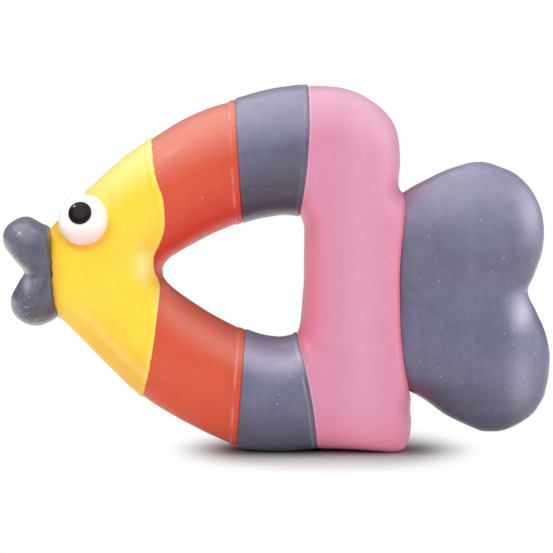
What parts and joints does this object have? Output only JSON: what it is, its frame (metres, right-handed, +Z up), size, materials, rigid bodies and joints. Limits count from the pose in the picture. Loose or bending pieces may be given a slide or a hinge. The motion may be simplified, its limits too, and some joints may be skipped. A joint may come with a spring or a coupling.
{
  "type": "latex fish dog toy",
  "caption": "Stuffed latex fish squeaky toy for dogs, its body a thick loop around a three-cornered grip hole, in grey, yellow, orange and pink sections.",
  "frame": {"origin": "centre of the toy's length and thickness, on the floor under its standing flat", "axes": "+X from the lips to the tail, -Y out of the left flank that the picture shows, +Z up"},
  "size_m": [0.1599, 0.0396, 0.107],
  "materials": {
    "grey_latex": "satin",
    "yellow_latex": "satin",
    "orange_latex": "satin",
    "pink_latex": "satin",
    "white_latex": "satin",
    "black_latex": "gloss",
    "fibre": "matte",
    "squeaker_plastic": "gloss",
    "reed_film": "satin"
  },
  "bodies": {
    "toy": {"lips": "grey_latex", "head": "yellow_latex", "gill_band": "orange_latex", "upper_band": "grey_latex", "lower_band": "grey_latex", "rear_body": "pink_latex", "tail": "grey_latex", "left_eye": "white_latex", "right_eye": "white_latex", "left_pupil": "black_latex", "right_pupil": "black_latex", "body_filling": "fibre", "tail_filling": "fibre", "squeaker_barrel": "squeaker_plastic", "reed_bed": "squeaker_plastic", "reed_clamp": "squeaker_plastic", "squeaker_cap": "squeaker_plastic"},
    "reed": {"reed": "reed_film"}
  },
  "joints": [
    {"name": "reed_flex", "type": "hinge", "parent": "toy", "child": "reed", "pos_m": [0.0225, 0.0081, 0.051], "axis": [1, 0, 0], "range_deg": [-1.4, 4.5], "stiffness_Nm_per_rad": 0.0001}
  ]
}
